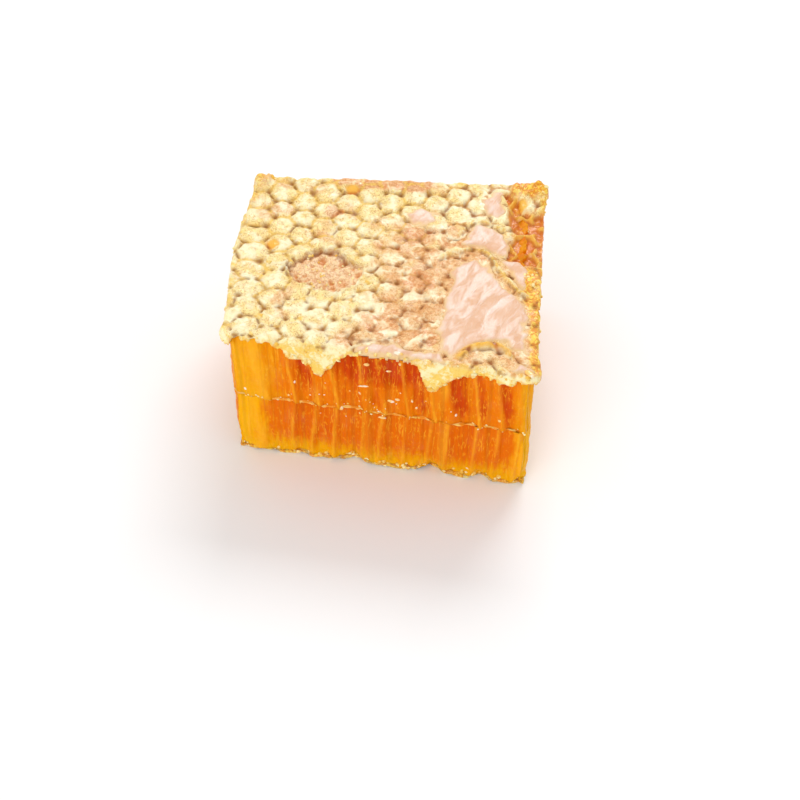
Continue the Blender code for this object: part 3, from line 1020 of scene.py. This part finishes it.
def make_lower_comb(finish):
    """The lower cells, torn back in scallops at the front foot, with a ridge at the right."""
    low, high = WALL_FOOT, RIB_TOP - RIB_LAP
    piece, fields = comb_wall("lower_comb", low, high, LOWER_CELLS, LOWER_SLANT, 61)
    level, place, ways, points = (fields[key] for key in ("level", "place", "ways", "points"))
    across = points[:, 0]
    fields["inset"] -= 0.45 * np.sin(smooth(level, low, high) * math.pi) + 0.15
    notch = front_notch(place, ways)
    fields["inset"] += notch * 0.85 * (1 - smooth(level / (1 + 1.4 * notch), 0.5, 1.2))
    fields["inset"] += 0.3 * (1 - smooth(level, 0.5, 6.0)) * fields["dent"]
    ridge = np.exp(-((across - 30.2) / 0.5) ** 2) * smooth(-ways[:, 1], 0.3, 0.6)
    ridge *= smooth(level, 2.0, 4.0) * (1 - smooth(level, 12.0, 14.5))
    fields["inset"] -= 0.9 * ridge
    sunny = 0.95 - smooth(across, -29, -17) + 0.75 * smooth(across, 24, 30) + ridge
    # Painted light: the side face towards the front right gets a lighter yellow, against the shade
    # it stands in.
    side = 0.45 + 0.5 * smooth(across, 20, 28) * smooth(-points[:, 1], 8, 22)
    front = smooth(-ways[:, 1], 0.4, 0.9)
    seat_wall(piece, fields, {
        "wall": np.clip(fields["crest"] + 2 * ridge, 0, 2),
        "depth": 0.5 * fields["fill"],
        "low": np.clip(1.05 - level / 10.5, 0, 1),
        "amber": np.clip(side + (sunny - side) * front, 0, 1),
    })
    dress(piece, finish, "honey_cells", "cells_lower")
    return piece


def make_midrib(finish):
    """The torn edge of the wax sheet between the two layers of cells."""
    piece, _ = wall_block("midrib_sheet", RIB_BASE, RIB_TOP)
    share, level = share_round(piece)
    points, ways, place = walk_rim((TOP_PLAN + BASE_PLAN) / 2, share)
    along, side = along_rim(place), np.sign(level - RIB_MIDDLE)
    inset = 1.2 - 0.3 * ripple(along, 1.2, 71, 2) - 0.3 * ripple(along, 4.0, 72)
    inset += 0.12 * side * ripple(along, 0.9, 73)
    wave = 0.5 * ripple(along, 8.0, 74) + 0.22 * ripple(along, 2.0, 75)
    half_thick = 0.16 + 0.08 * ripple(along, 2.6, 76)
    skin = points - ways * np.clip(inset, 0.2, 1.3)[:, None]
    put_spots(piece, np.column_stack((skin, RIB_MIDDLE + wave + side * half_thick)))
    finish_shell()
    dress(piece, finish, "comb_wax", "midrib")
    return piece


# ---------------------------------------------------------------- honey on top

def make_film(finish):
    """Pools of honey over the cappings, thin at their edges and along the ledges."""
    piece = sheet_grid("honey_film", (-7.0, -29.5), (31.5, 25.0), SHEET_STEP)
    spots = spots_of(piece)
    points = spots[:, :2]
    flat = on_plan(points)
    outside, _, _ = plan_distance(points, TOP_PLAN)
    reach = np.maximum(film_reach(points), (outside + 0.75 + 0.3 * ripple(flat, 1.5, 85)) * 1.5)
    ledge = np.minimum.reduce([path_distance(points, path)
                               for path in (WAVY_LEDGE, LONG_LEDGE, AMBER_FOLD)])
    pool = np.sqrt(smooth(-reach, -0.3, 1.3)) * (1 - 0.95 * np.exp(-ledge ** 4))
    spots[:, 2] = valley_level(points) - 0.15 + 0.66 * pool
    spots[:, 2] += 0.10 * ripple(flat, 5.0, 83) + 0.05 * ripple(flat, 2.0, 84)
    put_spots(piece, spots)
    put_marks(piece, {"thin": 1 - smooth(pool, 0.45, 1.0)})
    cut_away(piece, reach > 0.35)
    select_open_edges()
    bpy.ops.mesh.extrude_region_move(TRANSFORM_OT_translate={"value": (0, 0, -0.9 * MM)})
    bpy.ops.mesh.edge_face_add()
    bpy.ops.object.mode_set(mode="OBJECT")
    finish_shell()
    dress(piece, finish, "honey_cells")
    return piece


# ---------------------------------------------------------------- crumbs and beads

INWARD, DOWN = (0, 1, 0), (0, 0, -1)


def small_lump(name, size, roughness, seed):
    """One rough little ball for scatter to copy."""
    start_piece()
    bpy.ops.mesh.primitive_uv_sphere_add(segments=7, ring_count=5, radius=size / 2 * MM)
    piece = named(name)
    spots = spots_of(piece)
    put_spots(piece, spots * (1 + roughness * ripple(spots, 0.7 * size, seed))[:, None])
    bpy.ops.object.shade_smooth()
    return piece


def land(pieces, start, heading):
    """Where a straight path from start (mm) first meets the pieces, and the way out there."""
    start, landings = Vector(start) * MM, []
    for piece in pieces:
        hit, place, normal, _ = piece.ray_cast(start, Vector(heading).normalized())
        if hit:
            landings.append((place, normal))
    return min(landings, key=lambda landing: (landing[0] - start).length, default=None)


def scatter(pattern, seats, luck, spin_range):
    """Copies of the pattern, each with its own mesh, set on their seats and joined."""
    name = pattern.name
    copies = []
    for place, normal, size in seats:
        copy = pattern.copy()
        copy.data = pattern.data.copy()
        bpy.context.scene.collection.objects.link(copy)
        turn = normal.to_track_quat("Z", "Y").to_matrix().to_4x4()
        spin = Matrix.Rotation(luck.uniform(-spin_range, spin_range), 4, "Z")
        grow = Matrix.Diagonal((*size, 1.0))
        copy.matrix_world = Matrix.Translation(place) @ turn @ spin @ grow
        copies.append(copy)
    bpy.data.objects.remove(pattern)
    start_piece()
    for copy in copies:
        copy.select_set(True)
    bpy.context.view_layer.objects.active = copies[0]
    bpy.ops.object.join()
    settle()
    return named(name)


def on_front_edge(along, level):
    """A place in front of the front cut, for a straight path inward."""
    left, right = TOP_PLAN[0], TOP_PLAN[1]
    spot = left + (right - left) * (along / np.linalg.norm(right - left))
    return (spot[0], spot[1] - REACH, level)


def make_crumbs(finish, pieces):
    """Bits of torn wax: on the fringe, the midrib, both rims, the lumps and the torn patch."""
    luck = random.Random(91)
    seats = []

    def seat(start, heading, small, large, flatness):
        landing = land(pieces, start, heading)
        if landing:
            size = luck.uniform(small, large)
            stretch = luck.uniform(0.6, 1.0)
            seats.append((*landing, (size, size * stretch, size * flatness)))

    def seat_on_rim(plan, low, high, small, large, flatness):
        rim, way, _ = walk_rim(plan, np.array((luck.random(),)))
        start = (*(rim[0] + way[0] * REACH), luck.uniform(low, high))
        seat(start, (*-way[0], 0), small, large, flatness)

    for _ in range(44):
        along = luck.uniform(1, 61)
        fringe = CAP_TOP - 1.2 - max(float(front_drop(along - 2)), 0.4)
        start = on_front_edge(along, fringe + luck.uniform(-0.4, 1.0))
        seat(start, INWARD, 0.5, 1.7, 0.4)
    for _ in range(40):
        along = 62 - 60 * luck.random() ** 1.5
        seat(on_front_edge(along, RIB_MIDDLE + luck.gauss(0, 0.35)), INWARD, 0.25, 0.75, 0.35)
    for _ in range(70):
        seat_on_rim(TOP_PLAN, CAP_TOP - 1.6, CAP_TOP - 3.4, 0.4, 1.1, 0.6)
    for _ in range(46):
        start = on_front_edge(luck.uniform(1, 61), luck.uniform(0.5, 1.9))
        seat(start, INWARD, 0.5, 1.3, 0.45)
    for _ in range(80):
        seat_on_rim(BASE_PLAN, 0.7, 2.2, 0.35, 0.9, 0.5)
    for x, y, wide, deep in LUMPS[:4]:
        for _ in range(14):
            start = (x + luck.uniform(-wide, wide), y + luck.uniform(-deep, deep), CAP_TOP + ABOVE)
            seat(start, DOWN, 0.4, 1.1, 0.5)
    for _ in range(46):
        start = (luck.uniform(-21, -6), luck.uniform(-9, 2), CAP_TOP + ABOVE)
        if region(np.array((start[:2],)), TORN)[0] < 0.6:
            seat(start, DOWN, 0.4, 1.0, 0.4)
    crumbs = scatter(small_lump("wax_crumbs", 1.0, 0.45, 92), seats, luck, math.pi)
    dress(crumbs, finish, "capping_wax")


# Bright beads on the front cut, pale as painted highlights: distance along the edge, level, width,
# height.
FRONT_BEADS = (
    (27.7, 22.1, 0.8, 0.7), (29.0, 30.2, 1.3, 1.0), (35.6, 31.6, 0.7, 1.2), (33.4, 28.6, 1.2, 0.6),
    (28.6, 24.6, 2.6, 0.5), (34.0, 20.9, 1.7, 0.9), (35.4, 21.6, 1.1, 0.8), (32.4, 16.2, 1.8, 0.7),
    (24.0, 17.0, 0.8, 1.1), (27.2, 17.2, 1.1, 0.9), (38.4, 21.8, 0.5, 1.1), (39.3, 19.6, 0.6, 0.7),
    (47.4, 19.2, 0.6, 0.9), (56.2, 19.8, 0.7, 0.8), (4.0, 19.0, 0.8, 0.8), (7.6, 17.6, 0.5, 0.7),
    (13.0, 18.6, 0.5, 0.8), (14.4, 23.0, 0.5, 0.9), (50.6, 3.2, 1.0, 0.5), (52.2, 16.6, 0.8, 0.6),
)
# Drops on the front rim, pale as painted highlights: x, y, width, height.
RIM_BEADS = ((-2.4, -24.9, 1.7, 1.0), (3.8, -25.4, 2.2, 0.9), (9.6, -26.6, 1.8, 1.2),
             (29.4, -27.5, 2.9, 1.5))


def make_beads(finish, pieces):
    """Drops and air bubbles in the wet front cut, and drops on the front rim, all pale as painted
    highlights.
    """
    luck = random.Random(95)
    seats = []
    for along, level, wide, high in FRONT_BEADS:
        landing = land(pieces, on_front_edge(along, level), INWARD)
        seats.append((*landing, (wide, high, 0.35)))
    for x, y, wide, high in RIM_BEADS:
        place, normal = land(pieces[:1], (x, y, CAP_TOP + ABOVE), DOWN)
        seats.append((place + normal * 0.25 * MM, normal, (wide, high, 0.8)))
    for _ in range(34):
        landing = land(pieces, on_front_edge(luck.gauss(27, 9), luck.gauss(18.5, 2.2)), INWARD)
        if landing:
            size = luck.uniform(0.2, 0.5)
            seats.append((*landing, (size, size * luck.uniform(0.6, 1.2), 0.2)))
    beads = scatter(small_lump("wet_beads", 1.0, 0.22, 96), seats, luck, 0.35)
    dress(beads, finish, "honey_cells")


# ---------------------------------------------------------------- the studio

def make_floor():
    """A plain pale floor, a hair below the slab so that the two faces don't fight."""
    hair = 0.02 * MM
    start_piece()
    bpy.ops.mesh.primitive_plane_add(size=6.0, location=(0, 0, -hair))
    settle()
    floor = named("floor")
    paint = Finish("floor paint", Roughness=0.6)
    paint.feed("Base Color", (0.93, 0.93, 0.93, 1.0))
    floor.data.materials.append(paint.material)


def make_camera():
    """Looks down on the slab's front from a little to the right."""
    azimuth, elevation, roll = (math.radians(angle) for angle in (4.63, 48.0, 1.9))
    away = Vector((math.sin(azimuth) * math.cos(elevation),
                   -math.cos(azimuth) * math.cos(elevation), math.sin(elevation)))
    aim, distance = Vector((4.17, -21.99, 17.9)), 300.5
    data = bpy.data.cameras.new("camera")
    data.lens = 66.2
    data.clip_start, data.clip_end = 0.01, 20
    camera = bpy.data.objects.new("camera", data)
    bpy.context.scene.collection.objects.link(camera)
    camera.location = (aim + away * distance) * MM
    turn = (-away).to_track_quat("-Z", "Y").to_matrix().to_4x4()
    camera.rotation_euler = (turn @ Matrix.Rotation(roll, 4, "Z")).to_euler()
    bpy.context.scene.camera = camera


def soft_light(name, place, aim, size, power):
    data = bpy.data.lights.new(name, "AREA")
    data.shape = "RECTANGLE"
    data.size, data.size_y = size
    data.energy = power
    light = bpy.data.objects.new(name, data)
    bpy.context.scene.collection.objects.link(light)
    light.location = place
    light.rotation_euler = (Vector(aim) - Vector(place)).to_track_quat("-Z", "Y").to_euler()


def make_studio():
    world = bpy.data.worlds.new("studio")
    world.use_nodes = True
    background = world.node_tree.nodes["Background"].inputs
    background["Color"].default_value = (1, 1, 1, 1)
    background["Strength"].default_value = 0.70
    bpy.context.scene.world = world
    bpy.context.scene.view_settings.view_transform = "Standard"
    soft_light("back softbox", (0.08, 0.42, 0.50), (0.015, 0, 0.03), (0.34, 0.22), 1.9)
    soft_light("front fill", (-0.25, -0.60, 0.35), (0, 0, 0.02), (0.5, 0.4), 1.7)


def main():
    wax = capping_wax()
    cappings = make_cappings(wax)
    base = make_base_cappings(wax)
    upper = make_upper_comb(honey_comb("upper honey", tint(208, 70, 0), tint(236, 122, 0),
                                       tint(238, 150, 0), tint(240, 164, 0)))
    lower = make_lower_comb(honey_comb("lower honey", tint(218, 88, 0), tint(230, 110, 0),
                                       tint(248, 172, 0), tint(244, 174, 0)))
    rib = make_midrib(rib_wax())
    film = make_film(film_honey())
    pieces = (cappings, base, upper, lower, rib, film)
    make_crumbs(crumb_wax(), pieces)
    make_beads(bead_honey(), pieces)
    make_floor()
    make_camera()
    make_studio()


main()
